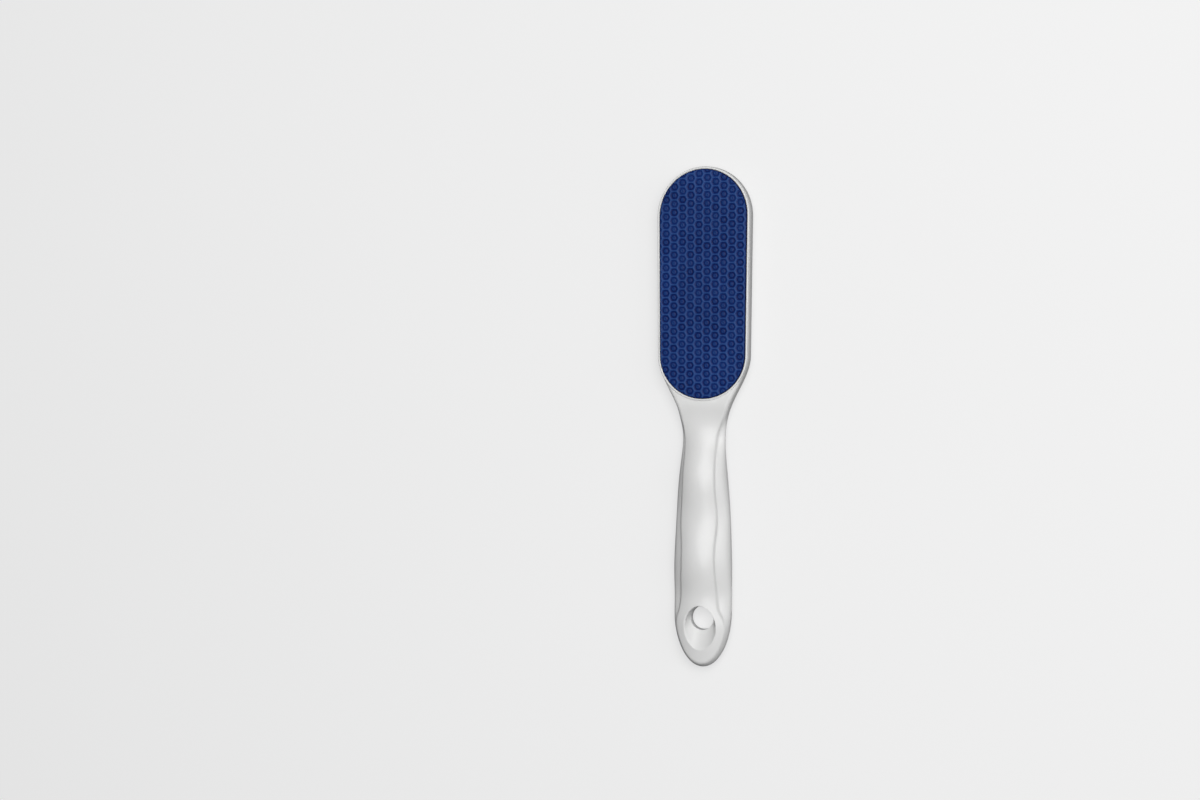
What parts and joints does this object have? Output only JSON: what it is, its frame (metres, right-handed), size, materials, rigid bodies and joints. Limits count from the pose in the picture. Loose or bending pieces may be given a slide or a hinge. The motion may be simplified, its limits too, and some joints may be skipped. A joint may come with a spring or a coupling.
{
  "type": "foot file",
  "caption": "Flat hand-held foot file: an etched glass rasp plate set in a round-ended paddle, with a waisted, gently humped handle and a hang hole in a thumb scoop.",
  "frame": {"origin": "centre of the bounding box's bottom face: under the middle of the length, on the surface the file lies on", "axes": "+Y from the tail with the hang hole to the paddle's crown, +Z out of the rasp face, +X across the width; the file is symmetric in X"},
  "size_m": [0.0442, 0.2294, 0.0136],
  "materials": {
    "white_shell": "moulded gloss",
    "blue_glass": "etched, back-tinted, opaque",
    "bond": "matte foam tape"
  },
  "bodies": {
    "root": {"front_shell": "white_shell", "back_shell": "white_shell", "glass_file_plate": "blue_glass", "bond_pad": "bond"}
  },
  "joints": []
}
